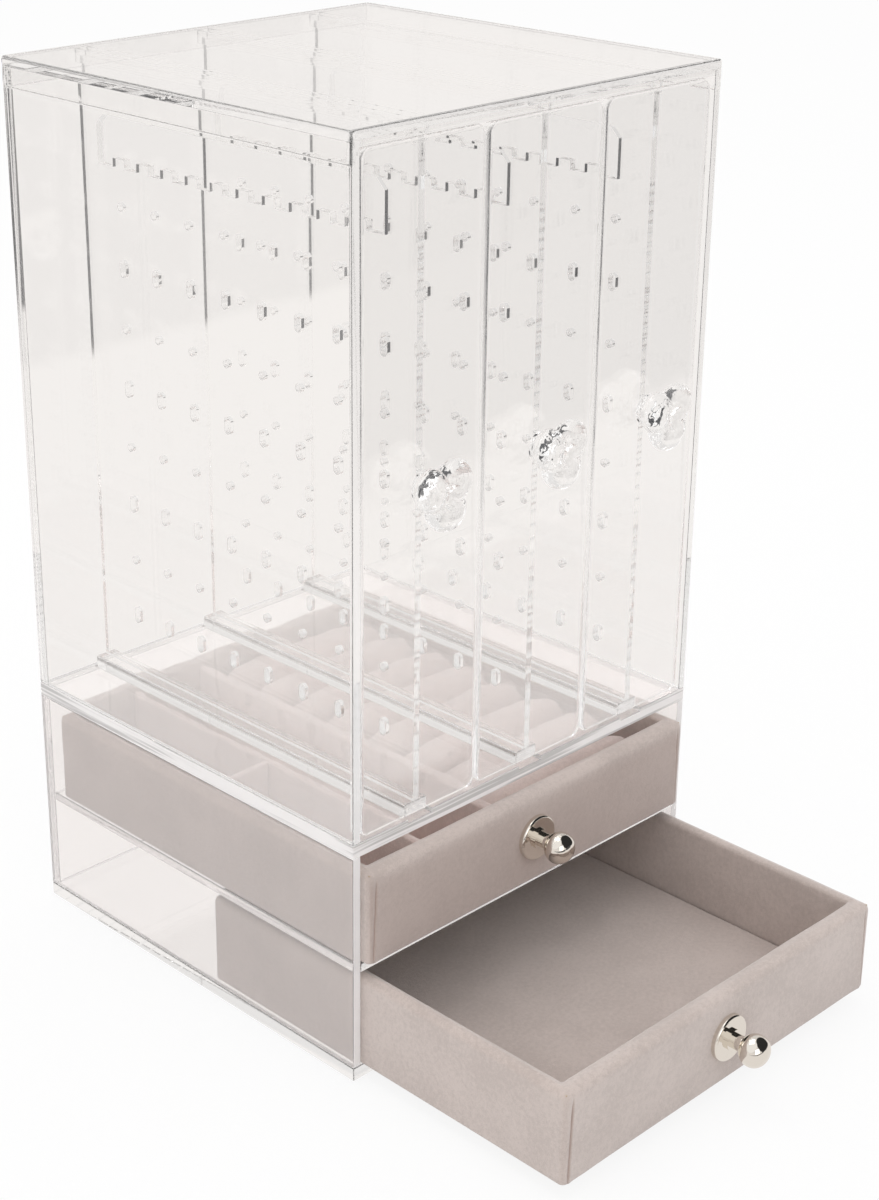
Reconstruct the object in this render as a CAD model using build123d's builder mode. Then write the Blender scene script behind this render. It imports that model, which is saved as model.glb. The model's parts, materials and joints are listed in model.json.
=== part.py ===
from build123d import *
from math import floor, radians, cos, sin
import os

# A clear jewelry box: a tower with three upright earring drawers stands on a base with two velvet drawers.
# Millimetres. The origin is the middle of the underside, +Z is up and the drawers open towards -Y.

# Case
case_width = 150.0
case_depth = 150.0
case_height = 285.0
wall = 3.0
floor_thickness = 4.6
shelf_thickness = 3.0
edge_round = 0.5

# Clearances and the overrun of cuts
running_gap = 0.4
seat_gap = 0.3
overrun = 1.0

# Top cover
cover_thickness = 3.0
cover_proud = 0.5
cover_corner = 2.0
cover_edge = 0.9
skirt_thickness = 1.5
skirt_drop = 6.0
lip_thickness = 3.0
lip_drop = 1.6
guide_rib = 1.2
guide_drop = 4.0

# Earring drawers
earring_names = ["left", "middle", "right"]
panel_thickness = 3.0
panel_recess = 0.5
panel_gap = 0.6
panel_corner = 3.5
panel_round = 1.2
plate_thickness = 2.4
plate_rear_gap = 1.1
rail_width = 9.0
rail_height = 4.7
groove_depth = 1.2

# Window near the top of an earring plate, with teeth that part the hooks
window_front_margin = 12.5
window_rear_margin = 8.1
window_top_margin = 13.6
window_height = 15.2
window_chamfer = 3.0
tooth_pitch = 11.3
tooth_width = 5.6
tooth_height = 2.8

# Rows of round holes and upright slots below the window
hole_pitch_along = 15.9
hole_pitch_up = 19.3
hole_diameter = 2.6
slot_width = 2.8
slot_height = 5.4
holes_window_margin = 11.9
holes_rail_margin = 10.0
holes_side_margin = 12.0
holes_shift = -2.6

# Clear knob with three petals
petal_radius = 6.2
petal_offset = 5.0
petal_depth = 8.5
petal_flat_radius = 3.0
petal_first_angle = 30.0
petal_count = 3
knob_neck_radius = 4.0
knob_neck_length = 4.0
knob_boss_radius = 3.8
knob_boss_height = 0.8
knob_rise = 2.5

# Velvet drawers
tray_height = 30.4
tray_back_gap = 1.0
lower_headroom = 1.7
upper_headroom = 5.3
side_board = 3.0
front_board = 4.2
bottom_board = 2.0
velvet = 0.9
velvet_round = 1.8
velvet_inner_round = 1.2
velvet_foot_round = 0.6
lining_thickness = 1.6
lining_gap = 0.3
lower_pull = 80.0
upper_pull = 3.0

# Ball knob, its flange and its screw
flange_radius = 7.4
flange_thickness = 1.8
flange_round = 0.7
collar_radius = 3.3
collar_length = 1.0
neck_radius = 2.4
neck_length = 3.3
ball_radius = 5.1
ball_depth = 7.9
ball_dome = 0.45
screw_radius = 1.5
screw_clearance = 0.15
screw_reach = 6.0
screw_head_radius = 3.0
screw_head_height = 1.8

# Insert of the upper drawer
left_divider_place = 23.8
left_divider_thickness = 2.6
right_divider_place = 54.2
right_divider_thickness = 4.0
divider_drop = 3.0
divider_round = 1.0
divider_gap = 0.2
roll_count = 8
roll_gap = 0.4
roll_end_gap = 6.8
roll_drop = 3.4
roll_station_shares = [0, 0.12, 0.5, 0.88, 1]
roll_size_shares = [0.86, 0.97, 1, 0.97, 0.86]
roll_foot_share = 0.42
roll_belly_shares = (0.5, 0.36)
roll_shoulder_shares = (0.46, 0.72)

# Levels and faces that follow from the sizes above
front = -case_depth / 2
back = case_depth / 2
right = case_width / 2
inner_right = right - wall
inner_back = back - wall
shelf_low = floor_thickness + seat_gap + tray_height + lower_headroom
shelf_top = shelf_low + shelf_thickness
base_top = shelf_top + seat_gap + tray_height + upper_headroom
tower_floor_top = base_top + floor_thickness
cover_low = case_height - cover_thickness
skirt_low = cover_low - skirt_drop
lip_low = cover_low - lip_drop

os.makedirs("parts", exist_ok=True)


def save(piece, name):
    """Label a finished piece and write it."""
    piece.part.label = name
    export_step(piece.part, f"parts/{name}.step")


def slab(low, high):
    """A flat rectangular piece between two corners."""
    with BuildPart() as sheet:
        with BuildSketch(Plane.XY.offset(low[2])):
            with Locations(((low[0] + high[0]) / 2, (low[1] + high[1]) / 2)):
                Rectangle(high[0] - low[0], high[1] - low[1])
        extrude(amount=high[2] - low[2])
    return sheet.part


def outward(x, y, z):
    """A sketch plane at a knob's seat: its second axis points out of the box's front."""
    return Plane(origin=(x, y, z), x_dir=(1, 0, 0), z_dir=(0, 0, -1))


# Base: floor, three walls and the shelf between the two velvet drawers
with BuildPart() as base_floor:
    add(slab((-right, front, 0), (right, back, floor_thickness)))
    fillet(base_floor.edges().filter_by(Axis.Z), edge_round)
    fillet(base_floor.edges().group_by(Axis.Z)[0], edge_round)
save(base_floor, "base_floor")

for side, name in ((-1, "base_left_wall"), (1, "base_right_wall")):
    outer = side * right
    inner = side * inner_right
    with BuildPart() as base_wall:
        add(slab((min(outer, inner), front, floor_thickness), (max(outer, inner), back, base_top)))
        fillet(base_wall.edges().filter_by(Axis.Z).group_by(Axis.X)[0 if side < 0 else -1], edge_round)
    save(base_wall, name)

with BuildPart() as base_back_wall:
    add(slab((-inner_right, inner_back, floor_thickness), (inner_right, back, base_top)))
save(base_back_wall, "base_back_wall")

with BuildPart() as drawer_shelf:
    add(slab((-inner_right, front, shelf_low), (inner_right, inner_back, shelf_top)))
save(drawer_shelf, "drawer_shelf")

# Places of the three earring drawers across the tower
earring_count = len(earring_names)
panel_width = (2 * inner_right - (earring_count + 1) * panel_gap) / earring_count
earring_places = [(i - (earring_count - 1) / 2) * (panel_width + panel_gap) for i in range(earring_count)]
panel_front = front + panel_recess
panel_back = panel_front + panel_thickness
panel_low = tower_floor_top + running_gap
panel_top = lip_low - running_gap
rail_low = tower_floor_top - groove_depth + seat_gap
rail_top = rail_low + rail_height
rail_rear = inner_back - seat_gap
plate_rear = rail_rear - plate_rear_gap
groove_width = rail_width + 2 * running_gap

# Tower floor: closes the base and guides the three rails in its grooves
with BuildPart() as tower_floor:
    add(slab((-right, front, base_top), (right, back, tower_floor_top)))
    fillet(tower_floor.edges().filter_by(Axis.Z), edge_round)
    for place in earring_places:
        add(
            slab(
                (place - groove_width / 2, front - overrun, tower_floor_top - groove_depth),
                (place + groove_width / 2, inner_back, tower_floor_top + overrun),
            ),
            mode=Mode.SUBTRACT,
        )
save(tower_floor, "tower_floor")

# Tower walls: their top edges are cut back so that the cover's skirt sits round them
rebate = skirt_thickness - cover_proud
for side, name in ((-1, "tower_left_wall"), (1, "tower_right_wall")):
    outer = side * right
    inner = side * inner_right
    cut_outer = side * (right + overrun)
    cut_inner = side * (right - rebate)
    with BuildPart() as tower_wall:
        add(slab((min(outer, inner), front, tower_floor_top), (max(outer, inner), back - rebate, cover_low)))
        add(slab((min(outer, inner), front, tower_floor_top), (max(outer, inner), back, skirt_low)))
        add(
            slab(
                (min(cut_outer, cut_inner), front - overrun, skirt_low),
                (max(cut_outer, cut_inner), back + overrun, cover_low + overrun),
            ),
            mode=Mode.SUBTRACT,
        )
        fillet(tower_wall.edges().filter_by(Axis.Z).group_by(Axis.X)[0 if side < 0 else -1], edge_round)
    save(tower_wall, name)

with BuildPart() as tower_back_wall:
    add(slab((-inner_right, inner_back, tower_floor_top), (inner_right, back - rebate, cover_low)))
    add(slab((-inner_right, inner_back, tower_floor_top), (inner_right, back, skirt_low)))
save(tower_back_wall, "tower_back_wall")

# Top cover: a lid with a skirt on three sides, a lip over the front panels and ribs that guide the plates
cover_side = right + cover_proud
cover_front = front - cover_proud
cover_back = back + cover_proud
with BuildPart() as top_cover:
    add(slab((-cover_side, cover_front, skirt_low), (cover_side, cover_back, case_height)))
    fillet(top_cover.edges().filter_by(Axis.Z), cover_corner)
    fillet(top_cover.edges().group_by(Axis.Z)[-1], cover_edge)
    add(
        slab(
            (skirt_thickness - cover_side, cover_front - overrun, skirt_low - overrun),
            (cover_side - skirt_thickness, cover_back - skirt_thickness, cover_low),
        ),
        mode=Mode.SUBTRACT,
    )
    add(slab((-inner_right, front, lip_low), (inner_right, front + lip_thickness, cover_low)))
    for place in earring_places:
        for side in (-1, 1):
            rib_inner = place + side * (plate_thickness / 2 + running_gap)
            rib_outer = rib_inner + side * guide_rib
            add(
                slab(
                    (min(rib_inner, rib_outer), panel_back + running_gap, cover_low - guide_drop),
                    (max(rib_inner, rib_outer), inner_back - seat_gap, cover_low),
                )
            )
save(top_cover, "top_cover")

# Earring drawers: a front panel, an upright perforated plate, a rail under the plate and a clear knob
plate_top = panel_top
plate_length = plate_rear - panel_back
window_top = plate_top - window_top_margin
window_low = window_top - window_height
window_front = panel_back + window_front_margin
window_rear = plate_rear - window_rear_margin
tooth_count = floor((window_rear - window_front) / tooth_pitch)
window_middle = (window_front + window_rear) / 2
hole_columns = floor((plate_length - 2 * holes_side_margin) / hole_pitch_along) + 1
hole_top = window_low - holes_window_margin
hole_rows = floor((hole_top - rail_top - holes_rail_margin) / hole_pitch_up) + 1
hole_middle = (panel_back + plate_rear) / 2 + holes_shift
column_places = [hole_middle + (i - (hole_columns - 1) / 2) * hole_pitch_along for i in range(hole_columns)]
knob_height = (panel_low + panel_top) / 2 + knob_rise

for place, side_name in zip(earring_places, earring_names):
    with BuildPart() as earring_front:
        with BuildSketch(Plane.XZ.offset(-panel_back)):
            with Locations((place, (panel_low + panel_top) / 2)):
                RectangleRounded(panel_width, panel_top - panel_low, panel_corner)
        extrude(amount=panel_thickness)
        fillet(earring_front.faces().sort_by(Axis.Y)[0].edges(), panel_round)
    save(earring_front, f"{side_name}_earring_front")

    with BuildPart() as earring_plate:
        with BuildSketch(Plane.YZ.offset(place - plate_thickness / 2)):
            with Locations(((panel_back + plate_rear) / 2, (rail_top + plate_top) / 2)):
                Rectangle(plate_length, plate_top - rail_top)
            with BuildLine():
                Polyline(
                    (window_front, window_low),
                    (window_rear, window_low),
                    (window_rear, window_top - window_chamfer),
                    (window_rear - window_chamfer, window_top),
                    (window_front + window_chamfer, window_top),
                    (window_front, window_top - window_chamfer),
                    close=True,
                )
            make_face(mode=Mode.SUBTRACT)
            with Locations((window_middle, window_low)):
                with GridLocations(tooth_pitch, 0, tooth_count, 1):
                    Rectangle(tooth_width, tooth_height, align=(Align.CENTER, Align.MIN))
            for row in range(hole_rows):
                row_height = hole_top - row * hole_pitch_up
                with Locations([(column, row_height) for column in column_places]):
                    if row % 2:
                        SlotOverall(slot_height, slot_width, rotation=90, mode=Mode.SUBTRACT)
                    else:
                        Circle(hole_diameter / 2, mode=Mode.SUBTRACT)
        extrude(amount=plate_thickness)
    save(earring_plate, f"{side_name}_earring_plate")

    with BuildPart() as earring_rail:
        add(slab((place - rail_width / 2, panel_back, rail_low), (place + rail_width / 2, rail_rear, rail_top)))
        fillet(earring_rail.edges().filter_by(Axis.Y).group_by(Axis.Z)[-1], edge_round)
    save(earring_rail, f"{side_name}_earring_rail")

    with BuildPart() as earring_knob:
        with BuildSketch(Plane.XZ.offset(-panel_front)):
            with Locations((place, knob_height)):
                Circle(knob_neck_radius)
        extrude(amount=knob_neck_length + petal_depth / 2)
        for i in range(petal_count):
            petal_angle = radians(petal_first_angle + i * 360 / petal_count)
            petal_x = place + petal_offset * cos(petal_angle)
            petal_z = knob_height + petal_offset * sin(petal_angle)
            petal_plane = outward(petal_x, panel_front - knob_neck_length, petal_z)
            with BuildSketch(petal_plane):
                with BuildLine():
                    Line((0, 0), (petal_flat_radius, 0))
                    ThreePointArc(
                        (petal_flat_radius, 0),
                        (petal_radius, petal_depth / 2),
                        (petal_flat_radius, petal_depth),
                    )
                    Line((petal_flat_radius, petal_depth), (0, petal_depth))
                    Line((0, petal_depth), (0, 0))
                make_face()
            revolve(axis=Axis(petal_plane.origin, petal_plane.y_dir))
        with BuildSketch(Plane.XZ.offset(knob_neck_length - panel_front)):
            with Locations((place, knob_height)):
                Circle(knob_boss_radius)
        extrude(amount=petal_depth + knob_boss_height)
    save(earring_knob, f"{side_name}_earring_knob")

# Velvet drawers: boards, a velvet wrap over them, a lining on the floor and a ball knob on the front
tray_side = inner_right - running_gap
tray_depth = case_depth - wall - tray_back_gap
side_wall = side_board + 2 * velvet
front_wall = front_board + 2 * velvet
inside_right = tray_side - side_wall
screw_hole_radius = screw_radius + screw_clearance
knob_bore_depth = screw_reach + screw_clearance
dome_radius = (neck_radius**2 + ball_dome**2) / (2 * ball_dome)

for name, pull, tray_low in (
    ("lower", lower_pull, floor_thickness + seat_gap),
    ("upper", upper_pull, shelf_top + seat_gap),
):
    tray_front = front - pull
    tray_rear = tray_front + tray_depth
    tray_top = tray_low + tray_height
    inside_front = tray_front + front_wall
    inside_rear = tray_rear - side_wall
    board_top = tray_top - velvet
    tray_knob_height = (tray_low + tray_top) / 2

    front_corners = (
        (velvet - tray_side, tray_front + velvet, tray_low),
        (tray_side - velvet, tray_front + velvet + front_board, board_top),
    )
    back_corners = (
        (velvet - tray_side, tray_rear - velvet - side_board, tray_low),
        (tray_side - velvet, tray_rear - velvet, board_top),
    )
    left_corners = (
        (velvet - tray_side, tray_front + velvet + front_board, tray_low),
        (velvet + side_board - tray_side, tray_rear - velvet - side_board, board_top),
    )
    right_corners = (
        (tray_side - velvet - side_board, tray_front + velvet + front_board, tray_low),
        (tray_side - velvet, tray_rear - velvet - side_board, board_top),
    )
    board_corners = (front_corners, back_corners, left_corners, right_corners)

    # The screw's head lies in the back of the front board, under the velvet
    screw_seat = tray_front + velvet + front_board
    screw_plane = Plane(origin=(0, screw_seat, tray_knob_height), x_dir=(1, 0, 0), z_dir=(0, 1, 0))
    with BuildPart() as front_piece:
        add(slab(*front_corners))
        with Locations(screw_plane):
            CounterBoreHole(screw_hole_radius, screw_head_radius + screw_clearance, screw_head_height)
    save(front_piece, f"{name}_drawer_front_board")

    for corners, side_name in zip(board_corners[1:], ("back", "left", "right")):
        with BuildPart() as side_piece:
            add(slab(*corners))
        save(side_piece, f"{name}_drawer_{side_name}_board")

    with BuildPart() as bottom_piece:
        add(
            slab(
                (-inside_right, inside_front, tray_low),
                (inside_right, inside_rear, tray_low + bottom_board),
            )
        )
    save(bottom_piece, f"{name}_drawer_bottom_board")

    with BuildPart() as drawer_velvet:
        add(slab((-tray_side, tray_front, tray_low), (tray_side, tray_rear, tray_top)))
        fillet(drawer_velvet.edges().filter_by(Axis.Z), velvet_round)
        fillet(drawer_velvet.edges().group_by(Axis.Z)[-1], velvet_round)
        fillet(drawer_velvet.edges().group_by(Axis.Z)[0], velvet_foot_round)
        add(
            slab(
                (-inside_right, inside_front, tray_low - overrun),
                (inside_right, inside_rear, tray_top + overrun),
            ),
            mode=Mode.SUBTRACT,
        )
        rim = drawer_velvet.faces().filter_by(Axis.Z).sort_by(Axis.Z)[-1]
        fillet(rim.inner_wires()[0].edges(), velvet_inner_round)
        for corners in board_corners:
            add(slab(*corners), mode=Mode.SUBTRACT)
        with Locations(Plane.XZ.offset(-tray_front) * Location((0, tray_knob_height, 0))):
            Hole(screw_hole_radius, depth=velvet)
    save(drawer_velvet, f"{name}_drawer_velvet")

    lining_low = tray_low + bottom_board
    lining_top = lining_low + lining_thickness
    with BuildPart() as drawer_lining:
        add(
            slab(
                (lining_gap - inside_right, inside_front + lining_gap, lining_low),
                (inside_right - lining_gap, inside_rear - lining_gap, lining_top),
            )
        )
        fillet(drawer_lining.edges().group_by(Axis.Z)[-1], edge_round)
    save(drawer_lining, f"{name}_drawer_lining")

    with BuildPart() as knob_flange:
        seat = outward(0, tray_front, tray_knob_height)
        with BuildSketch(seat):
            with BuildLine():
                Polyline(
                    (flange_radius - flange_round, flange_thickness),
                    (screw_hole_radius, flange_thickness),
                    (screw_hole_radius, 0),
                    (flange_radius, 0),
                    (flange_radius, flange_thickness - flange_round),
                )
                RadiusArc(
                    (flange_radius, flange_thickness - flange_round),
                    (flange_radius - flange_round, flange_thickness),
                    -flange_round,
                )
            make_face()
        revolve(axis=Axis(seat.origin, seat.y_dir))
    save(knob_flange, f"{name}_knob_flange")

    with BuildPart() as ball_knob:
        seat = outward(0, tray_front - flange_thickness, tray_knob_height)
        ball_low = collar_length + neck_length
        with BuildSketch(seat):
            with BuildLine():
                Polyline(
                    (0, ball_low + ball_depth + ball_dome),
                    (0, knob_bore_depth),
                    (screw_hole_radius, knob_bore_depth),
                    (screw_hole_radius, 0),
                    (collar_radius, 0),
                    (collar_radius, collar_length),
                    (neck_radius, collar_length),
                    (neck_radius, ball_low),
                )
                ball_side = ThreePointArc(
                    (neck_radius, ball_low),
                    (ball_radius, ball_low + ball_depth / 2),
                    (neck_radius, ball_low + ball_depth),
                )
                RadiusArc(ball_side @ 1, (0, ball_low + ball_depth + ball_dome), -dome_radius)
            make_face()
        revolve(axis=Axis(seat.origin, seat.y_dir))
    save(ball_knob, f"{name}_knob")

    with BuildPart() as knob_screw:
        seat = outward(0, screw_seat, tray_knob_height)
        screw_end = front_board + velvet + flange_thickness + screw_reach
        with BuildSketch(seat):
            with BuildLine():
                Polyline(
                    (0, 0),
                    (screw_head_radius, 0),
                    (screw_head_radius, screw_head_height),
                    (screw_radius, screw_head_height),
                    (screw_radius, screw_end),
                    (0, screw_end),
                    close=True,
                )
            make_face()
        revolve(axis=Axis(seat.origin, seat.y_dir))
    save(knob_screw, f"{name}_knob_screw")

# Insert of the upper drawer, which the loop above made last: two long dividers, a short one and ring rolls
divider_top = tray_top - divider_drop
left_divider_middle = left_divider_place - inside_right
right_divider_middle = right_divider_place - inside_right
left_divider_left = left_divider_middle - left_divider_thickness / 2
right_divider_right = right_divider_middle + right_divider_thickness / 2
for middle, thickness, name in (
    (left_divider_middle, left_divider_thickness, "left_divider"),
    (right_divider_middle, right_divider_thickness, "right_divider"),
):
    with BuildPart() as long_divider:
        add(
            slab(
                (middle - thickness / 2, inside_front + divider_gap, lining_top),
                (middle + thickness / 2, inside_rear - divider_gap, divider_top),
            )
        )
        fillet(long_divider.edges().filter_by(Axis.Y).group_by(Axis.Z)[-1], divider_round)
    save(long_divider, name)

cross_middle = (inside_front + inside_rear) / 2
with BuildPart() as cross_divider:
    add(
        slab(
            (divider_gap - inside_right, cross_middle - left_divider_thickness / 2, lining_top),
            (left_divider_left - divider_gap, cross_middle + left_divider_thickness / 2, divider_top),
        )
    )
    fillet(cross_divider.edges().filter_by(Axis.X).group_by(Axis.Z)[-1], divider_round)
save(cross_divider, "cross_divider")

# Ring rolls: stuffed bars that lie side by side across the drawer, flat below, round above, smaller at the ends
roll_pitch = (inside_rear - inside_front) / roll_count
roll_width = roll_pitch - roll_gap
roll_height = tray_top - roll_drop - lining_top
roll_left = right_divider_right + roll_gap
roll_right = inside_right - roll_end_gap
for i in range(roll_count):
    roll_middle = inside_front + (i + 1 / 2) * roll_pitch
    with BuildPart() as ring_roll:
        for station, size in zip(roll_station_shares, roll_size_shares):
            roll_plane = Plane.YZ.offset(roll_left + station * (roll_right - roll_left))
            across = size * roll_width
            up = size * roll_height
            foot_left = (roll_middle - roll_foot_share * across, lining_top)
            foot_right = (roll_middle + roll_foot_share * across, lining_top)
            belly_left = (roll_middle - roll_belly_shares[0] * across, lining_top + roll_belly_shares[1] * up)
            belly_right = (roll_middle + roll_belly_shares[0] * across, lining_top + roll_belly_shares[1] * up)
            shoulder_left = (
                roll_middle - roll_shoulder_shares[0] * across,
                lining_top + roll_shoulder_shares[1] * up,
            )
            shoulder_right = (
                roll_middle + roll_shoulder_shares[0] * across,
                lining_top + roll_shoulder_shares[1] * up,
            )
            with BuildSketch(roll_plane):
                with BuildLine():
                    Line(foot_left, foot_right)
                    ThreePointArc(foot_right, belly_right, shoulder_right)
                    ThreePointArc(shoulder_right, (roll_middle, lining_top + up), shoulder_left)
                    ThreePointArc(shoulder_left, belly_left, foot_left)
                make_face()
        loft()
    save(ring_roll, f"ring_roll_{i + 1}")
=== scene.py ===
import json
import math

import bmesh
import bpy
from mathutils import Matrix, Vector, noise


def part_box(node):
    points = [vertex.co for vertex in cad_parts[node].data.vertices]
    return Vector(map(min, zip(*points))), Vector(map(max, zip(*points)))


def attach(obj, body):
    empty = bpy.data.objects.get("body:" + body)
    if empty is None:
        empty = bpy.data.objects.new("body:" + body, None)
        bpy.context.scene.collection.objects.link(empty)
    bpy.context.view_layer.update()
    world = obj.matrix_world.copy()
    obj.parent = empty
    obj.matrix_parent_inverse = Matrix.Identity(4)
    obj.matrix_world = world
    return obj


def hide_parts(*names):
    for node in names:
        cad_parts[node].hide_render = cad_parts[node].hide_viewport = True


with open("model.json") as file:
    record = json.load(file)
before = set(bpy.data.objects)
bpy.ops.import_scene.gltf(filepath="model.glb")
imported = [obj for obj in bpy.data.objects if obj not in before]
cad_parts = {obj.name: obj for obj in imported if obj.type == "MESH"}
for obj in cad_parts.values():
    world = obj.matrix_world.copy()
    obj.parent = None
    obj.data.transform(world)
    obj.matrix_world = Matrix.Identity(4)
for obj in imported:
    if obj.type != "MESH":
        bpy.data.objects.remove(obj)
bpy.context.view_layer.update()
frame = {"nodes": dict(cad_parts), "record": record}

# Clear sheets of the case and of the earring drawers, cut or moulded from acrylic and glued edge to edge, so
# each joint keeps a hairline of air and each edge a thin bevel. Most are polished all round. The tower floor
# and the base's side walls are faintly cloudy and rosy, with edges left as the saw or the scraper made them.
mm = 0.001
bodies = frame["record"]["behaviour"]["bodies"]
body_of = {node: body for body, nodes in bodies.items() for node in nodes}


class Shade:
    """A shader value. Arithmetic on it adds Math nodes to its tree."""

    def __init__(self, tree, socket=None):
        self.tree = tree
        self.socket = socket

    def node(self, kind, settings, inputs, output=0):
        """Add a node: its settings come first, then the values or links of its sockets."""
        made = self.tree.nodes.new(kind)
        for name, value in settings.items():
            if name == "stops":
                ramp = made.color_ramp.elements
                for element, (place, colour) in zip(ramp, value):
                    element.position = place
                    element.color = (*colour, 1)
                for place, colour in value[2:]:
                    ramp.new(place).color = (*colour, 1)
            else:
                setattr(made, name, value)
        for name, value in inputs.items():
            if isinstance(value, Shade):
                self.tree.links.new(value.socket, made.inputs[name])
            else:
                made.inputs[name].default_value = value
        return Shade(self.tree, made.outputs[output] if made.outputs else None)

    def maths(self, operation, *values):
        return self.node("ShaderNodeMath", {"operation": operation}, dict(enumerate(values)))

    def __add__(self, other):
        return self.maths("ADD", self, other)

    def __sub__(self, other):
        return self.maths("SUBTRACT", self, other)

    def __rsub__(self, other):
        return self.maths("SUBTRACT", other, self)

    def __mul__(self, other):
        return self.maths("MULTIPLY", self, other)

    __radd__ = __add__
    __rmul__ = __mul__


def blank_material(name):
    """A new material with an empty tree."""
    material = bpy.data.materials.new(name)
    material.use_nodes = True
    material.node_tree.nodes.clear()
    return material, Shade(material.node_tree)


def mottle(shade, grain, detail, place):
    """Cloudy values from 0 to 1, with patches about as wide as the grain."""
    return shade.node("ShaderNodeTexNoise", {}, {"Vector": place, "Scale": 1 / grain, "Detail": detail})


clear_tint = (1.0, 0.999, 0.997)
rosy_tint = (1.0, 0.978, 0.974)
dull_tint = (0.62, 0.605, 0.60)
acrylic_ior = 1.49
smear_grain = 25 * mm
streak_stretch = (0.02, 0.02, 1.0)
streak_grain = 1.1 * mm
streak_from = 0.40
streak_to = 0.52


def clear_acrylic(name, clearness, haze, ripple, grain, tint=clear_tint, streak_tint=None):
    """Clear plastic with a trace of milk, faint smears and a slow ripple. Its shadow lets the light through.

    A scraped edge also shows level streaks of a duller tint, one above the other.
    """
    material, shade = blank_material(name)
    place = shade.node("ShaderNodeTexCoord", {}, {}, "Object")
    smear = mottle(shade, smear_grain, detail=3, place=place)
    wave = mottle(shade, grain, detail=1, place=place)
    normal = shade.node("ShaderNodeBump", {}, {"Height": wave, "Strength": 1.0, "Distance": ripple})
    colour = (*tint, 1)
    if streak_tint:
        settings = {"operation": "MULTIPLY"}
        drawn_out = shade.node("ShaderNodeVectorMath", settings, {0: place, 1: streak_stretch})
        streak = mottle(shade, streak_grain, detail=2, place=drawn_out)
        stops = [(streak_from, streak_tint), (streak_to, tint)]
        colour = shade.node("ShaderNodeValToRGB", {"stops": stops}, {"Fac": streak})
    body = shade.node(
        "ShaderNodeBsdfPrincipled",
        {},
        {
            "Base Color": colour,
            "Roughness": haze * (0.5 + smear),
            "IOR": acrylic_ior,
            "Transmission Weight": clearness,
            "Normal": normal,
        },
    )
    open_air = shade.node("ShaderNodeBsdfTransparent", {}, {"Color": (*clear_tint, 1)})
    shadow = shade.node("ShaderNodeLightPath", {}, {}, "Is Shadow Ray")
    mixed = shade.node("ShaderNodeMixShader", {}, {0: shadow, 1: body, 2: open_air})
    shade.node("ShaderNodeOutputMaterial", {}, {"Surface": mixed})
    return material


sheet_acrylic = clear_acrylic("sheet_acrylic", clearness=1.0, haze=0.01, ripple=0.02 * mm, grain=60 * mm)
cloudy_acrylic = clear_acrylic(
    "cloudy_acrylic", clearness=0.89, haze=0.01, ripple=0.02 * mm, grain=60 * mm, tint=rosy_tint
)
panel_acrylic = clear_acrylic("panel_acrylic", clearness=1.0, haze=0.02, ripple=0.08 * mm, grain=22 * mm)
moulded_acrylic = clear_acrylic(
    "moulded_acrylic", clearness=0.82, haze=0.05, ripple=0.25 * mm, grain=16 * mm, tint=rosy_tint
)
sawn_acrylic = clear_acrylic(
    "sawn_acrylic", clearness=0.25, haze=0.3, ripple=0.0, grain=20 * mm, tint=rosy_tint
)
scraped_acrylic = clear_acrylic(
    "scraped_acrylic",
    clearness=0.25,
    haze=0.12,
    ripple=0.0,
    grain=20 * mm,
    tint=rosy_tint,
    streak_tint=dull_tint,
)
joint_hairline = 0.02 * mm
edge_bevel = 0.3 * mm
hole_bevel = 0.12 * mm
weld_distance = 0.001 * mm
flat_angle = math.radians(0.2)
bevel_angle = math.radians(40)
narrow_tilt = 0.7


def add_object(name, mesh):
    """Put a mesh into the scene."""
    piece = bpy.data.objects.new(name, mesh)
    bpy.context.scene.collection.objects.link(piece)
    return piece


def shade_edges(mesh, degrees):
    """Smooth shading that stays crisp where two faces meet at more than this angle."""
    mesh.polygons.foreach_set("use_smooth", [True] * len(mesh.polygons))
    mesh.set_sharp_from_angle(angle=math.radians(degrees))


def polished_sheet(node, plastic, edge_plastic, bevel):
    """A clear sheet in a node's shape, drawn in by the hairline, with bevelled edges and flat faces.

    Its narrow faces may show another finish of the plastic.
    """
    work = bmesh.new()
    work.from_mesh(frame["nodes"][node].data)
    bmesh.ops.remove_doubles(work, verts=work.verts, dist=weld_distance)
    bmesh.ops.dissolve_limit(work, angle_limit=flat_angle, verts=work.verts, edges=work.edges)
    work.normal_update()
    moves = [vert.normal * vert.calc_shell_factor() * joint_hairline for vert in work.verts]
    for vert, move in zip(work.verts, moves):
        vert.co -= move
    work.verts.index_update()
    points = [vert.co.copy() for vert in work.verts]
    faces = [[vert.index for vert in face.verts] for face in work.faces]
    work.free()
    mesh = bpy.data.meshes.new(f"clear_{node}")
    mesh.from_pydata(points, [], faces)
    shade_edges(mesh, degrees=30)
    mesh.materials.append(plastic)
    mesh.materials.append(edge_plastic)
    low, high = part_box(node)
    spans = list(high - low)
    thin = spans.index(min(spans))
    for face in mesh.polygons:
        narrow = abs(face.normal[thin]) < narrow_tilt
        face.material_index = 1 if narrow else 0
    sheet = add_object(f"clear_{node}", mesh)
    edge = sheet.modifiers.new("edge", "BEVEL")
    edge.width = bevel
    edge.segments = 2
    edge.limit_method = "ANGLE"
    edge.angle_limit = bevel_angle
    flat = sheet.modifiers.new("flat", "WEIGHTED_NORMAL")
    flat.weight = 100
    flat.keep_sharp = True
    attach(sheet, body_of[node])
    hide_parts(node)


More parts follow.
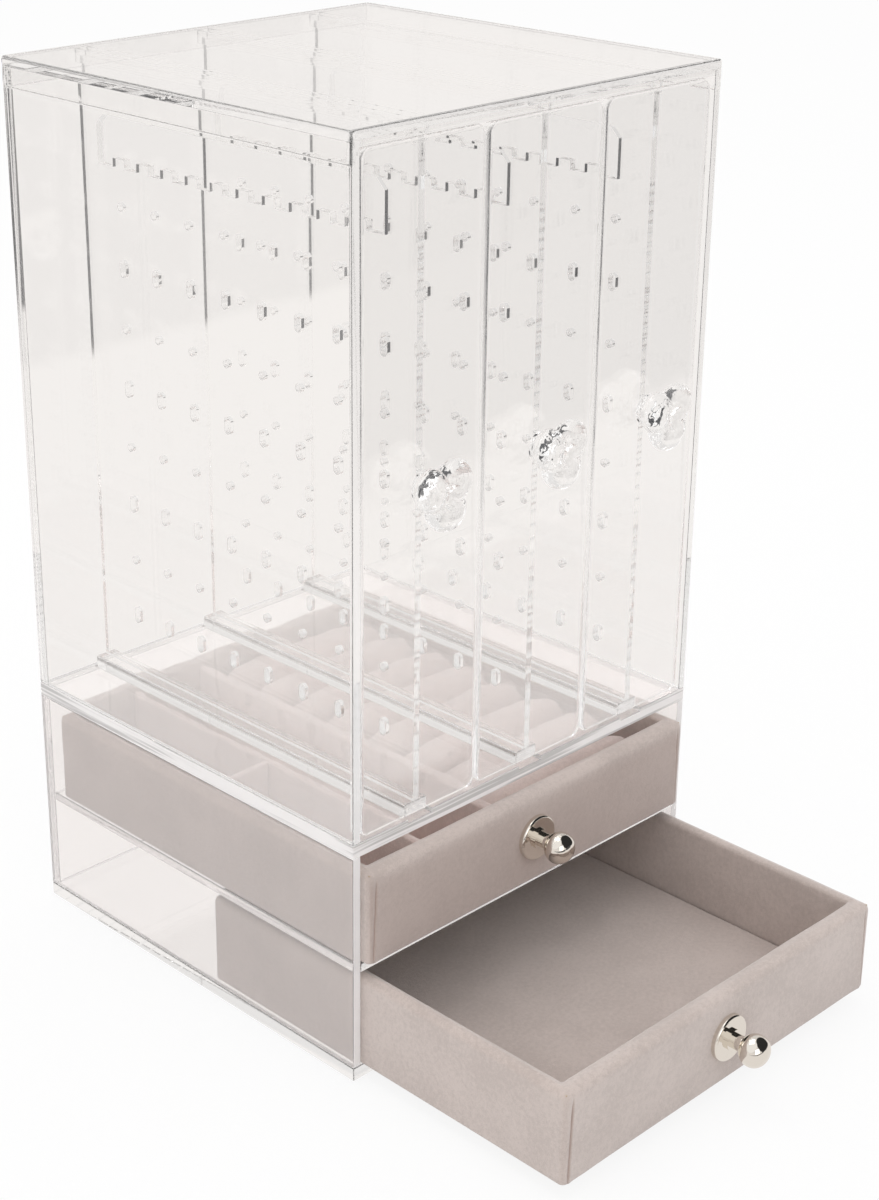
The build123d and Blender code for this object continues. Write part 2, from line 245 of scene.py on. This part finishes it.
for entry in frame["record"]["subparts"]:
    node = entry["node"]
    if entry["material_slot"] == "clear_acrylic" and not node.endswith("knob"):
        if node.endswith("front"):
            polished_sheet(node, panel_acrylic, panel_acrylic, edge_bevel)
        elif node.endswith("plate"):
            polished_sheet(node, sheet_acrylic, sheet_acrylic, hole_bevel)
        elif node == "tower_floor":
            polished_sheet(node, moulded_acrylic, scraped_acrylic, edge_bevel)
        elif node in ("base_left_wall", "base_right_wall"):
            polished_sheet(node, cloudy_acrylic, sawn_acrylic, edge_bevel)
        else:
            polished_sheet(node, sheet_acrylic, sheet_acrylic, edge_bevel)


# Clear knobs of the earring drawers: three moulded petals round a flat eye, on a short stem that is glued
# to the front panel. The petals turn a little round the axis, and light gathers in the folds between them.
knob_acrylic = clear_acrylic("knob_acrylic", clearness=1.0, haze=0.01, ripple=0.5 * mm, grain=3.0 * mm)
petal_radius = 6.2 * mm
petal_offset = 5.0 * mm
petal_angles = [math.radians(angle) for angle in (30, 150, 270)]
stem_radius = 4.0 * mm
stem_length = 4.0 * mm
head_depth = 8.5 * mm
petal_twist = math.radians(16)
fold_drop = 1.6 * mm
stem_profile = (
    (0.5 * mm, joint_hairline),
    (0.1 * mm, 0.5 * mm),
    (-0.1 * mm, 1.4 * mm),
    (-0.1 * mm, 3.6 * mm),
)
head_first = 0.14
head_last = 0.86
swell_power = 0.55
face_share = 0.7
face_rings = ((2 / 3, -0.5 * mm), (4 / 15, -0.7 * mm))
eye_radius = 3.6 * mm
eye_rings = ((0.0, -0.3 * mm), (-0.2 * mm, 0.65 * mm), (-0.6 * mm, 0.8 * mm), (-2.16 * mm, 0.9 * mm))
knob_sides = 144
head_rows = 22


def petal_reach(angle):
    """How far the edge of the nearest petal lies from the knob's axis."""
    turns = [math.remainder(angle - petal, math.tau) for petal in petal_angles]
    nearest = min(turns, key=abs)
    across = petal_offset * math.sin(nearest)
    return petal_offset * math.cos(nearest) + math.sqrt(petal_radius**2 - across**2)


def skin(name, rings, start_cap=False, end_cap=False, joined=False):
    """A mesh through closed rings of points, with caps, or with its last ring joined to the first."""
    sides = len(rings[0])
    points = [point for ring in rings for point in ring]
    pairs = [(i, i + 1) for i in range(len(rings) - 1)]
    if joined:
        pairs.append((len(rings) - 1, 0))
    faces = []
    for low, high in pairs:
        for j in range(sides):
            k = (j + 1) % sides
            faces.append([low * sides + j, low * sides + k, high * sides + k, high * sides + j])
    if start_cap:
        faces.append(list(range(sides))[::-1])
    if end_cap:
        faces.append([(len(rings) - 1) * sides + j for j in range(sides)])
    mesh = bpy.data.meshes.new(name)
    mesh.from_pydata(points, [], faces)
    work = bmesh.new()
    work.from_mesh(mesh)
    bmesh.ops.recalc_face_normals(work, faces=work.faces)
    work.to_mesh(mesh)
    work.free()
    return mesh


def flower_knob(side):
    """One knob, turned as rings from its foot to its eye."""
    low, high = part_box(f"{side}_earring_knob")
    panel_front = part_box(f"{side}_earring_front")[0].y
    middle = (low.x + high.x) / 2
    height = low.z + petal_offset + petal_radius
    angles = [math.tau * j / knob_sides for j in range(knob_sides)]
    rings = []
    for extra, out in stem_profile:
        rings.append([(stem_radius + extra, out, angle) for angle in angles])
    for i in range(head_rows + 1):
        sweep = math.pi * (head_first + (head_last - head_first) * i / head_rows)
        swell = math.sin(sweep) ** swell_power
        out = stem_length + head_depth * (1 - math.cos(sweep)) / 2
        turn = petal_twist * (out - stem_length) / head_depth
        drop = fold_drop if sweep > math.pi / 2 else 0
        ring = []
        for angle in angles:
            reach = petal_reach(angle)
            fold = 1 - reach / (petal_offset + petal_radius)
            ring.append((reach * swell, out - drop * fold, angle + turn))
        rings.append(ring)
    face_out = stem_length + head_depth
    for spread, lift in face_rings:
        ring = []
        for angle in angles:
            radius = eye_radius + (face_share * petal_reach(angle) - eye_radius) * spread
            ring.append((radius, face_out + lift, angle + petal_twist))
        rings.append(ring)
    for extra, lift in eye_rings:
        rings.append([(eye_radius + extra, face_out + lift, angle) for angle in angles])
    placed = [
        [(middle + r * math.cos(a), panel_front - out, height + r * math.sin(a)) for r, out, a in ring]
        for ring in rings
    ]
    mesh = skin(f"flower_knob_{side}", placed, start_cap=True, end_cap=True)
    shade_edges(mesh, degrees=40)
    mesh.materials.append(knob_acrylic)
    knob = add_object(f"flower_knob_{side}", mesh)
    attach(knob, f"{side}_earring_drawer")
    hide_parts(f"{side}_earring_knob")


for side in ("left", "middle", "right"):
    flower_knob(side)


# Velvet wraps of the two drawers: short-pile velvet is glued round fibre boards, folded over the rim and
# tucked in below the lining. Each front corner shows the upright fold where the side's cloth is turned round
# it, a real groove with painted shade along it, and the whole upper front is darkened by painted shade.
# painted shade: the dark colour laid into the seam grooves and over the upper front
painted_shade_tone = (0.28, 0.172, 0.132)
# painted shade: how much each drawer's whole front is darkened
front_painted_shade = {"lower": 0.0, "upper": 0.42}
brush_grain = 22 * mm
tuft_grain = 1.4 * mm
pile_grain = 0.35 * mm
brush_share = 0.36
tuft_share = 0.32
pile_share = 0.32
deep_until = 0.42
lit_from = 0.58
pile_rise = 0.6
tuft_rise = 0.4
pile_height = 0.25 * mm
sheen_tint = (0.97, 0.97, 0.98)


def blend(shade, share, first, second):
    """A colour between two, by a share."""
    return shade.node("ShaderNodeMix", {"data_type": "RGBA"}, {0: share, 6: first, 7: second}, 2)


def velvet(name, deep, lit):
    """Short velvet pile: soft sheen, brushed patches, a fine grain and painted shade taken from a mesh
    attribute.
    """
    material, shade = blank_material(name)
    place = shade.node("ShaderNodeTexCoord", {}, {}, "Object")
    brushed = mottle(shade, brush_grain, detail=3, place=place)
    tuft = mottle(shade, tuft_grain, detail=2, place=place)
    pile = mottle(shade, pile_grain, detail=2, place=place)
    tone = brushed * brush_share + tuft * tuft_share + pile * pile_share
    stops = [(deep_until, deep), (lit_from, lit)]
    pile_colour = shade.node("ShaderNodeValToRGB", {"stops": stops}, {"Fac": tone})
    # painted shade from the mesh attribute darkens the seam grooves and the upper front
    fold = shade.node("ShaderNodeAttribute", {"attribute_name": "fold_shade"}, {}, "Fac")
    colour = blend(shade, fold, pile_colour, (*painted_shade_tone, 1))
    height = pile * pile_rise + tuft * tuft_rise
    normal = shade.node("ShaderNodeBump", {}, {"Height": height, "Strength": 0.6, "Distance": pile_height})
    cloth = shade.node(
        "ShaderNodeBsdfPrincipled",
        {},
        {
            "Base Color": colour,
            "Roughness": 0.95,
            "Specular IOR Level": 0.15,
            "Sheen Weight": 0.6,
            "Sheen Roughness": 0.8,
            "Sheen Tint": (*sheen_tint, 1),
            "Normal": normal,
        },
    )
    shade.node("ShaderNodeOutputMaterial", {}, {"Surface": cloth})
    return material


drawer_velvet = velvet("drawer_velvet", deep=(0.43, 0.345, 0.305), lit=(0.53, 0.435, 0.390))
velvet_thickness = 0.9 * mm
rim_outer_round = 2.4 * mm
rim_inner_round = 1.5 * mm
rim_crown = 0.25 * mm
wrap_corner = 2.0 * mm
inner_corner = 0.7 * mm
foot_round = 0.7 * mm
under_drop = 0.1 * mm
seam_foot_place = 1.9 * mm
seam_top_place = 3.0 * mm
seam_wander = 0.35 * mm
seam_width = 0.3 * mm
seam_depth = 0.55 * mm
seam_lip = 0.3 * mm
seam_lip_reach = 1.6 * mm
seam_wave = 7 * mm
seam_fade_height = 0.95
seam_fade_span = 0.12
front_reach = 0.5 * mm
cloth_unevenness = 0.14 * mm
broad_wave = 14 * mm
fine_wave = 5 * mm
foot_steps = 3
wall_rows = 14
rim_outer_steps = 5
rim_inner_steps = 4
inner_rows = 8
corner_steps = 6
near_stations = [0.3 * i * mm for i in range(1, 12)]
side_stations = near_stations + [place * mm for place in (4.2, 5.4, 7.2, 10, 15, 22, 31, 42, 54)]
station_share = 0.92


def rounded_loop(low, high, corner):
    """Points round a rectangle with round corners, closer together near the corners."""
    middle = (low + high) / 2
    loop = []
    spans = ((high.x - low.x) / 2, (high.y - low.y) / 2)
    corners = ((1, -1, -90), (1, 1, 0), (-1, 1, 90), (-1, -1, 180))
    for sign_x, sign_y, start in corners:
        centre = Vector((sign_x * (spans[0] - corner), sign_y * (spans[1] - corner)))
        for i in range(corner_steps + 1):
            angle = math.radians(start + 90 * i / corner_steps)
            loop.append(middle + centre + corner * Vector((math.cos(angle), math.sin(angle))))
        along = spans[1] - corner if sign_x == -sign_y else spans[0] - corner
        last = loop[-1]
        step = Vector((-math.sin(angle), math.cos(angle)))
        inner = [place for place in side_stations if place < along * station_share]
        for place in inner + [along] + [2 * along - place for place in reversed(inner)]:
            loop.append(last + step * place)
    return loop


def cloth_shift(point, amount, grain):
    """How far the cloth lies proud of a smooth face here."""
    return amount * noise.noise(point / grain)


def wrapped_tray(name):
    """The velvet skin of one drawer: outside, rim and inside in one piece."""
    low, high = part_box(f"{name}_drawer_velvet")
    front_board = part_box(f"{name}_drawer_front_board")
    back_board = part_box(f"{name}_drawer_back_board")
    left_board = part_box(f"{name}_drawer_left_board")
    right_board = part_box(f"{name}_drawer_right_board")
    inner_low = Vector((left_board[1].x + velvet_thickness, front_board[1].y + velvet_thickness))
    inner_high = Vector((right_board[0].x - velvet_thickness, back_board[0].y - velvet_thickness))
    outer_low, outer_high = low.xy, high.xy
    foot = low.z - under_drop
    rim = high.z - rim_crown
    profile = [(0, foot_round, foot)]
    for i in range(1, foot_steps + 1):
        angle = math.radians(90 * i / foot_steps)
        profile.append((0, foot_round * (1 - math.sin(angle)), foot + foot_round * (1 - math.cos(angle))))
    for i in range(1, wall_rows + 1):
        share = i / wall_rows
        profile.append((0, 0, foot + foot_round + share * (rim - rim_outer_round - foot - foot_round)))
    for i in range(1, rim_outer_steps + 1):
        angle = math.radians(90 * i / rim_outer_steps)
        inset = rim_outer_round * (1 - math.cos(angle))
        profile.append((0, inset, rim - rim_outer_round * (1 - math.sin(angle))))
    profile.append((0.5, 0, high.z))
    for i in range(rim_inner_steps + 1):
        angle = math.radians(90 * i / rim_inner_steps)
        inset = -rim_inner_round * (1 - math.sin(angle))
        profile.append((1, inset, rim - rim_inner_round * (1 - math.cos(angle))))
    for i in range(1, inner_rows + 1):
        share = i / inner_rows
        profile.append((1, 0, rim - rim_inner_round + share * (foot - rim + rim_inner_round)))
    rings = []
    for across, inset, height in profile:
        shift = Vector((inset, inset))
        ring_low = outer_low.lerp(inner_low, across) + shift
        ring_high = outer_high.lerp(inner_high, across) - shift
        corner = wrap_corner + (inner_corner - wrap_corner) * across
        corner = max(corner - inset, inner_corner) if across == 0 else corner
        ring = []
        for spot in rounded_loop(ring_low, ring_high, corner):
            ring.append(Vector((spot.x, spot.y, height)))
        rings.append(ring)
    mesh = skin(f"velvet_wrap_{name}", rings, joined=True)
    mesh.update()
    normals = [vert.normal.copy() for vert in mesh.vertices]
    fold_shade = mesh.attributes.new("fold_shade", "FLOAT", "POINT")
    for vert, normal in zip(mesh.vertices, normals):
        point = vert.co.copy()
        lift = cloth_shift(point, cloth_unevenness, broad_wave)
        lift += cloth_shift(point, cloth_unevenness / 2, fine_wave)
        if point.y < outer_low.y + front_reach:
            share = (point.z - foot) / (rim - foot)
            place = seam_foot_place + share * (seam_top_place - seam_foot_place)
            fade = max(0.0, min(1.0, (seam_fade_height - share) / seam_fade_span))
            for corner_x, way in ((low.x, 1), (high.x, -1)):
                wander = seam_wander * noise.noise(Vector((corner_x, 0, point.z / seam_wave)))
                across = way * (point.x - corner_x) - place - wander
                # the groove is real, and its dark colour below is painted shade
                groove = fade * math.exp(-((across / seam_width) ** 2))
                lift -= seam_depth * groove
                if across > 0:
                    lift += fade * seam_lip * math.exp(-across / seam_lip_reach)
                # painted shade in the seam groove and over the upper front
                dark = max(groove, fade * front_painted_shade[name])
                if dark > fold_shade.data[vert.index].value:
                    fold_shade.data[vert.index].value = dark
        if point.z < foot + foot_round:
            lift = max(0.0, lift)
        vert.co = point + normal * lift
    shade_edges(mesh, degrees=180)
    mesh.materials.append(drawer_velvet)
    wrap = add_object(f"velvet_wrap_{name}", mesh)
    wrap.modifiers.new("soften", "SUBSURF").render_levels = 1
    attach(wrap, f"{name}_drawer")
    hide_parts(f"{name}_drawer_velvet")


for name in ("lower", "upper"):
    wrapped_tray(name)


# Linings: a thin foam-backed velvet pad lies on each drawer's bottom board, cut a hair smaller than the
# inside, with soft edges that roll down to the walls. The upper pad, its dividers and its rolls take a paler
# copy of the same velvet, painted light that brightens the insert under the tower floor.
# painted light: a paler copy of the drawer velvet for the upper drawer's insert
insert_painted_light_velvet = velvet("insert_painted_light_velvet", deep=(0.56, 0.44, 0.40), lit=(0.68, 0.545, 0.50))
lining_round = 1.0 * mm
lining_unevenness = 0.12 * mm
lining_wave = 18 * mm
lining_grid = 60


def lining_pad(name):
    """One floor pad, rounded along its upper edges and hardly crowned."""
    low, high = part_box(f"{name}_drawer_lining")
    middle = (low + high) / 2
    mesh = bpy.data.meshes.new(f"velvet_lining_{name}")
    work = bmesh.new()
    bmesh.ops.create_grid(work, x_segments=lining_grid, y_segments=lining_grid, size=1)
    spans = (high - low) / 2
    for vert in work.verts:
        share_x = math.sin(vert.co.x * math.pi / 2)
        share_y = math.sin(vert.co.y * math.pi / 2)
        spot = Vector((middle.x + spans.x * share_x, middle.y + spans.y * share_y, 0))
        gap = min(spans.x * (1 - abs(share_x)), spans.y * (1 - abs(share_y)))
        drop = 0.0
        if gap < lining_round:
            drop = lining_round - math.sqrt(lining_round**2 - (lining_round - gap) ** 2)
        spot.z = high.z - drop + cloth_shift(spot, lining_unevenness, lining_wave) - lining_unevenness
        vert.co = spot
    rim = [edge for edge in work.edges if edge.is_boundary]
    sunk = bmesh.ops.extrude_edge_only(work, edges=rim)["geom"]
    lower_rim = [part for part in sunk if isinstance(part, bmesh.types.BMVert)]
    for vert in lower_rim:
        vert.co.z = low.z
    bmesh.ops.holes_fill(work, edges=[edge for edge in work.edges if edge.is_boundary])
    bmesh.ops.recalc_face_normals(work, faces=work.faces)
    work.to_mesh(mesh)
    work.free()
    shade_edges(mesh, degrees=60)
    mesh.materials.append(insert_painted_light_velvet if name == "upper" else drawer_velvet)
    pad = add_object(f"velvet_lining_{name}", mesh)
    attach(pad, f"{name}_drawer")
    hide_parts(f"{name}_drawer_lining")


for name in ("lower", "upper"):
    lining_pad(name)


# Dividers of the upper drawer: velvet-wrapped boards that stand on the lining, with the cloth drawn over
# their upper edge and closed at the ends.
divider_round = 1.1 * mm
divider_unevenness = 0.1 * mm
divider_wave = 8 * mm
end_reach = 0.8 * mm
end_squeeze = 0.25
side_steps = 6
turn_steps = 4
divider_stations = 60


def wrapped_divider(node):
    """One divider: a thin upright slab with a rounded top, uneven as glued cloth is."""
    low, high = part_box(node)
    along_y = high.y - low.y > high.x - low.x
    length = (high.y - low.y) if along_y else (high.x - low.x)
    half = ((high.x - low.x) if along_y else (high.y - low.y)) / 2
    section = [(-half, low.z)]
    rise = high.z - low.z - divider_round
    section += [(-half, low.z + rise * i / side_steps) for i in range(1, side_steps + 1)]
    turn = min(divider_round, half)
    for i in range(1, turn_steps + 1):
        angle = math.radians(90 * i / turn_steps)
        section.append((-half + turn * (1 - math.cos(angle)), high.z - turn * (1 - math.sin(angle))))
    section += [(-across, up) for across, up in reversed(section)]
    rings = []
    for i in range(divider_stations + 1):
        share = i / divider_stations
        end = min(share, 1 - share) * length
        squeeze = 1 - end_squeeze * max(0, 1 - end / end_reach) ** 2
        ring = []
        for across, up in section:
            place = (low.y if along_y else low.x) + share * length
            across *= squeeze
            if along_y:
                spot = Vector(((low.x + high.x) / 2 + across, place, up))
            else:
                spot = Vector((place, (low.y + high.y) / 2 + across, up))
            if up > low.z:
                puff = math.copysign(cloth_shift(spot, divider_unevenness, divider_wave), across)
                spot += Vector((puff, 0, 0)) if along_y else Vector((0, puff, 0))
            ring.append(spot)
        rings.append(ring)
    mesh = skin(f"velvet_{node}", rings, start_cap=True, end_cap=True)
    shade_edges(mesh, degrees=50)
    mesh.materials.append(insert_painted_light_velvet)
    divider = add_object(f"velvet_{node}", mesh)
    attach(divider, "upper_drawer")
    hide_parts(node)


for node in ("left_divider", "right_divider", "cross_divider"):
    wrapped_divider(node)


# Ring rolls: velvet tubes stuffed with foam lie side by side in the upper drawer, so that a ring is held
# between two of them. Their ends are gathered and sewn.
roll_count = 8
roll_voxel = 1.4 * mm
roll_frames = 20
roll_most_move = 1.2 * mm
slack_shares = (0.985, 0.94, 0.96)
roll_pressure = 4
roll_unevenness = 0.25 * mm
roll_wave = 16 * mm
roll_still_height = 10 * mm


def stuffed_roll():
    """The first roll, blown up by a cloth simulation from a slightly smaller form of its solid."""
    source = frame["nodes"]["ring_roll_1"].data
    low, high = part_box("ring_roll_1")
    middle = (low + high) / 2
    mesh = bpy.data.meshes.new("ring_roll_form")
    work = bmesh.new()
    work.from_mesh(source)
    bmesh.ops.remove_doubles(work, verts=work.verts, dist=weld_distance)
    for vert in work.verts:
        vert.co.x = middle.x + (vert.co.x - middle.x) * slack_shares[0]
        vert.co.y = middle.y + (vert.co.y - middle.y) * slack_shares[1]
        vert.co.z = low.z + (vert.co.z - low.z) * slack_shares[2]
    work.verts.index_update()
    points = [vert.co.copy() for vert in work.verts]
    faces = [[vert.index for vert in face.verts] for face in work.faces]
    mesh.from_pydata(points, [], faces)
    work.free()
    roll = add_object("ring_roll_form", mesh)
    bpy.context.view_layer.objects.active = roll
    roll.data.remesh_voxel_size = roll_voxel
    bpy.ops.object.voxel_remesh()
    start = [vert.co.copy() for vert in roll.data.vertices]
    cloth = roll.modifiers.new("cloth", "CLOTH")
    cloth.settings.use_pressure = True
    cloth.settings.uniform_pressure_force = roll_pressure
    cloth.settings.effector_weights.gravity = 0
    for step in range(1, roll_frames + 1):
        bpy.context.scene.frame_set(step)
    posed = roll.evaluated_get(bpy.context.evaluated_depsgraph_get())
    ends = [vert.co.copy() for vert in posed.data.vertices]
    roll.modifiers.remove(cloth)
    bpy.context.scene.frame_set(1)
    for vert, first, last in zip(roll.data.vertices, start, ends):
        move = last - first
        if move.length > roll_most_move:
            move *= roll_most_move / move.length
        vert.co = first + move
    for vert in roll.data.vertices:
        vert.co.z = max(vert.co.z, low.z)
        vert.co.y = min(max(vert.co.y, low.y), high.y)
        vert.co.x = min(max(vert.co.x, low.x), high.x)
    return roll


first_roll = stuffed_roll()
first_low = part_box("ring_roll_1")[0]
for i in range(1, roll_count + 1):
    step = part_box(f"ring_roll_{i}")[0] - first_low
    mesh = first_roll.data.copy()
    mesh.name = f"velvet_roll_{i}"
    for vert in mesh.vertices:
        vert.co += step
        raised = min(1, (vert.co.z - first_low.z) / roll_still_height)
        vert.co.z += cloth_shift(vert.co, roll_unevenness, roll_wave) * raised
    shade_edges(mesh, degrees=180)
    mesh.materials.clear()
    mesh.materials.append(insert_painted_light_velvet)
    roll = add_object(f"velvet_roll_{i}", mesh)
    roll.modifiers.new("soften", "SUBSURF").render_levels = 1
    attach(roll, "upper_drawer")
    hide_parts(f"ring_roll_{i}")
bpy.data.objects.remove(first_roll)


# Ball knobs of the drawers: turned metal with a polished nickel plate, a flange that bears on the velvet and
# a zinc screw from inside the front board. The drawers' boards are bare fibre board below the velvet.
nickel_tone = (0.80, 0.755, 0.69)
plate_haze = 0.04
wipe_haze = 0.05
wipe_grain = 3 * mm
fleck_deep_until = 0.35
fleck_lit_from = 0.65
fleck_depth = 0.1 * mm


def polished_nickel():
    """Bright warm plate with faint wipe marks."""
    material, shade = blank_material("polished_nickel")
    place = shade.node("ShaderNodeTexCoord", {}, {}, "Object")
    wipe = mottle(shade, wipe_grain, detail=4, place=place)
    metal = shade.node(
        "ShaderNodeBsdfPrincipled",
        {},
        {"Base Color": (*nickel_tone, 1), "Metallic": 1.0, "Roughness": plate_haze + wipe_haze * wipe},
    )
    shade.node("ShaderNodeOutputMaterial", {}, {"Surface": metal})
    return material


def grained(name, deep, lit, grain, roughness, metallic):
    """A dull material with a two-tone grain."""
    material, shade = blank_material(name)
    place = shade.node("ShaderNodeTexCoord", {}, {}, "Object")
    fleck = mottle(shade, grain, detail=4, place=place)
    stops = [(fleck_deep_until, deep), (fleck_lit_from, lit)]
    colour = shade.node("ShaderNodeValToRGB", {"stops": stops}, {"Fac": fleck})
    normal = shade.node("ShaderNodeBump", {}, {"Height": fleck, "Strength": 0.3, "Distance": fleck_depth})
    solid = shade.node(
        "ShaderNodeBsdfPrincipled",
        {},
        {"Base Color": colour, "Roughness": roughness, "Metallic": metallic, "Normal": normal},
    )
    shade.node("ShaderNodeOutputMaterial", {}, {"Surface": solid})
    return material


board_tones = {"deep": (0.36, 0.27, 0.18), "lit": (0.52, 0.41, 0.29)}
zinc_tones = {"deep": (0.5, 0.5, 0.5), "lit": (0.66, 0.66, 0.64)}
finishes = {
    "polished_nickel": polished_nickel(),
    "board": grained("fibre_board", **board_tones, grain=1.2 * mm, roughness=0.9, metallic=0.0),
    "screw_steel": grained("zinc_screw", **zinc_tones, grain=0.8 * mm, roughness=0.35, metallic=1.0),
}
for entry in frame["record"]["subparts"]:
    if entry["material_slot"] in finishes:
        mesh = frame["nodes"][entry["node"]].data
        mesh.materials.clear()
        mesh.materials.append(finishes[entry["material_slot"]])


# The studio: a white table that keeps the shadow, a white sweep round it and two soft lamps. Clear and bright
# pieces see the sweep's own greys and a bright softbox at the left. Only reflections see the table's dark
# end in front of the box, and only rays that never went through a sheet see the dim part at the right.
scene = bpy.context.scene
scene.view_settings.view_transform = "Standard"
scene.cycles.max_bounces = 80
scene.cycles.transmission_bounces = 80
scene.cycles.glossy_bounces = 80
scene.cycles.diffuse_bounces = 24
scene.cycles.transparent_max_bounces = 64
table_half = 4.0
table_drop = 0.3 * mm
pure_white = (1, 1, 1)
paper_white = (0.86, 0.86, 0.86)
table_white = (0.90, 0.873, 0.853)
table_end = -0.41
table_end_blur = 0.03
beyond_table = (0.08, 0.08, 0.085)
sweep_grey = (0.78, 0.765, 0.755)
sweep_rise = (0.15, 0.35)
room_dim = (0.03, 0.03, 0.03)
dim_aim = (0.6, -0.55, 0.55)
dim_cone = (0.68, 0.74)
softbox_aim = (-0.59, -0.06, 0.80)
softbox_cone = (0.74, 0.79)
room_glow = (1.0, 0.998, 0.996)
front_glow = (0.55, 0.548, 0.546)
front_depth = (-0.60, 0.0)
front_height = (0.25, 0.70)
shadow_share = 0.12


def seen_by(shade):
    """Two masks: rays from the camera, and rays that only clear or bright pieces have turned."""
    from_camera = shade.node("ShaderNodeLightPath", {}, {}, "Is Camera Ray")
    glossy = shade.node("ShaderNodeLightPath", {}, {}, "Is Glossy Ray")
    refracted = shade.node("ShaderNodeLightPath", {}, {}, "Is Transmission Ray")
    scattered = shade.node("ShaderNodeLightPath", {}, {}, "Diffuse Depth")
    unscattered = 1.0 - shade.maths("MINIMUM", scattered, 1.0)
    return from_camera, shade.maths("MINIMUM", glossy + refracted, 1.0) * unscattered


def step_up(shade, value, low, high):
    """0 below the low value, 1 above the high one, with a smooth change between them."""
    settings = {"interpolation_type": "SMOOTHSTEP"}
    return shade.node("ShaderNodeMapRange", settings, {"Value": value, "From Min": low, "From Max": high})


def towards(shade, direction, aim, low, high):
    """1 round an aimed direction, 0 away from it."""
    inputs = {0: direction, 1: Vector(aim).normalized()}
    near = shade.node("ShaderNodeVectorMath", {"operation": "DOT_PRODUCT"}, inputs, "Value")
    return step_up(shade, near, low, high)


table_mesh = bpy.data.meshes.new("table")
table_mesh.from_pydata(
    [(sx * table_half, sy * table_half, 0) for sx, sy in ((-1, -1), (1, -1), (1, 1), (-1, 1))],
    [],
    [(0, 1, 2, 3)],
)
table_material, shade = blank_material("table_top")
from_camera, mirrored = seen_by(shade)
place = shade.node("ShaderNodeTexCoord", {}, {}, "Object")
forward = shade.node("ShaderNodeSeparateXYZ", {}, {"Vector": place}, "Y")
reflected = shade.maths("MINIMUM", shade.node("ShaderNodeLightPath", {}, {}, "Glossy Depth"), 1.0)
off_table = (1.0 - step_up(shade, forward, table_end - table_end_blur, table_end)) * reflected
far_colour = blend(shade, off_table, (*table_white, 1), (*beyond_table, 1))
paper = shade.node("ShaderNodeBsdfDiffuse", {}, {"Color": (*paper_white, 1)})
white = shade.node("ShaderNodeEmission", {}, {"Color": (*pure_white, 1), "Strength": 1.0})
mirror_tone = shade.node("ShaderNodeEmission", {}, {"Color": far_colour, "Strength": 1.0})
open_table = shade.node("ShaderNodeMixShader", {}, {0: from_camera * (1 - shadow_share), 1: paper, 2: white})
table_surface = shade.node("ShaderNodeMixShader", {}, {0: mirrored, 1: open_table, 2: mirror_tone})
shade.node("ShaderNodeOutputMaterial", {}, {"Surface": table_surface})
table_mesh.materials.append(table_material)
table = add_object("table", table_mesh)
table.location.z = -table_drop

world = bpy.data.worlds.new("studio")
scene.world = world
world.use_nodes = True
world.node_tree.nodes.clear()
shade = Shade(world.node_tree)
from_camera, mirrored = seen_by(shade)
direction = shade.node("ShaderNodeTexCoord", {}, {}, "Generated")
upward = shade.node("ShaderNodeSeparateXYZ", {}, {"Vector": direction}, "Z")
forward = shade.node("ShaderNodeSeparateXYZ", {}, {"Vector": direction}, "Y")
sweep = blend(shade, step_up(shade, upward, *sweep_rise), (*table_white, 1), (*sweep_grey, 1))
through = shade.node("ShaderNodeLightPath", {}, {}, "Transmission Depth")
mirror_only = 1.0 - shade.maths("MINIMUM", through, 1.0)
dim_part = towards(shade, direction, dim_aim, *dim_cone)
softbox = towards(shade, direction, softbox_aim, *softbox_cone)
walls = blend(shade, dim_part * mirror_only, sweep, (*room_dim, 1))
around = blend(shade, softbox, walls, (*pure_white, 1))
in_front = 1.0 - step_up(shade, forward, *front_depth)
low_front = in_front * (1.0 - step_up(shade, upward, *front_height))
glow = blend(shade, low_front, (*room_glow, 1), (*front_glow, 1))
room = shade.node("ShaderNodeBackground", {}, {"Color": glow, "Strength": 1.0})
studio = shade.node("ShaderNodeBackground", {}, {"Color": around, "Strength": 1.0})
white = shade.node("ShaderNodeBackground", {}, {"Color": (*pure_white, 1), "Strength": 1.0})
lit = shade.node("ShaderNodeMixShader", {}, {0: mirrored, 1: room, 2: studio})
sky = shade.node("ShaderNodeMixShader", {}, {0: from_camera, 1: lit, 2: white})
shade.node("ShaderNodeOutputWorld", {}, {"Surface": sky})


def soft_lamp(name, place, aim, size, power):
    """A square softbox."""
    lamp = bpy.data.lights.new(name, "AREA")
    lamp.size = size
    lamp.energy = power
    box = bpy.data.objects.new(name, lamp)
    scene.collection.objects.link(box)
    box.location = place
    box.rotation_euler = (Vector(aim) - Vector(place)).to_track_quat("-Z", "Y").to_euler()


soft_lamp("front_lamp", place=(-0.55, -1.6, 0.55), aim=(0, -0.1, 0.05), size=0.9, power=3)
soft_lamp("top_lamp", place=(-0.15, 0.25, 1.5), aim=(0, 0, 0), size=1.0, power=5)


# The camera stands off the near left corner, a little above the box, and looks down at it. Its place, angles
# and lens were fitted to the straight edges of the case.
camera_place = (-0.45374, -0.47481, 0.39844)
camera_turns = (-44.17, 22.56, 0.13)
lens_share = 2212.5 / 1200
camera_data = bpy.data.cameras.new("camera")
camera_data.sensor_fit = "VERTICAL"
camera_data.sensor_height = 36
camera_data.lens = lens_share * camera_data.sensor_height
camera_data.shift_x = 0.0512
camera_data.shift_y = -0.0351
camera = bpy.data.objects.new("camera", camera_data)
scene.collection.objects.link(camera)
azimuth, elevation, roll_angle = (math.radians(angle) for angle in camera_turns)
level = math.cos(elevation)
back = Vector((math.sin(azimuth) * level, -math.cos(azimuth) * level, math.sin(elevation)))
right = Vector((math.cos(azimuth), math.sin(azimuth), 0))
turned = Matrix((right, back.cross(right), back)).transposed() @ Matrix.Rotation(roll_angle, 3, "Z")
camera.matrix_world = Matrix.Translation(camera_place) @ turned.to_4x4()
scene.camera = camera
